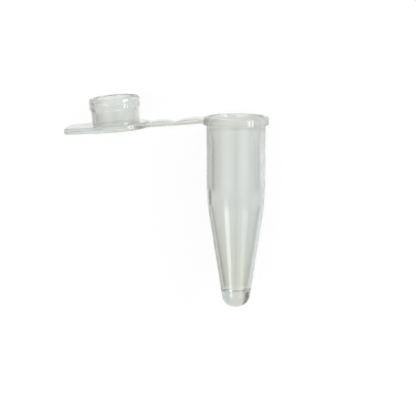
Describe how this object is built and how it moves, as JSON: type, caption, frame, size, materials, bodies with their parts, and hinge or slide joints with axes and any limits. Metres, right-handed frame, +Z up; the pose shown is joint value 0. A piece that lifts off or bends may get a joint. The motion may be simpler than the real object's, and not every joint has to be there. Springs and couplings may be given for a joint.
{
  "type": "pcr tube",
  "caption": "Small clear tube with a straight barrel, a tapered cone and a flat lid on a flexible strap, shown open and lying on its back.",
  "frame": {"origin": "centre of the mouth, level with the rim's top", "axes": "+Y along the tube's axis and out of its mouth, -X towards the open lid, +Z up as the part lies on its back"},
  "size_m": [0.0214, 0.0222, 0.007],
  "materials": {
    "clear_plastic": "clear moulded polypropylene, glossy, very slightly hazy"
  },
  "bodies": {
    "tube": {"tube": "clear_plastic"},
    "strap": {"hinge_strap": "clear_plastic"},
    "lid": {"cap": "clear_plastic"}
  },
  "joints": [
    {"name": "lid_flip", "type": "hinge", "parent": "tube", "child": "strap", "pos_m": [-0.00641, 0.00133, 0], "axis": [0, 0, -1], "range_deg": [-45, 185], "deforming": ["hinge_strap"]},
    {"name": "lid_press", "type": "slide", "parent": "strap", "child": "lid", "axis": [-0.0872, 0.9962, 0], "range_m": [0, 0.00298]}
  ]
}
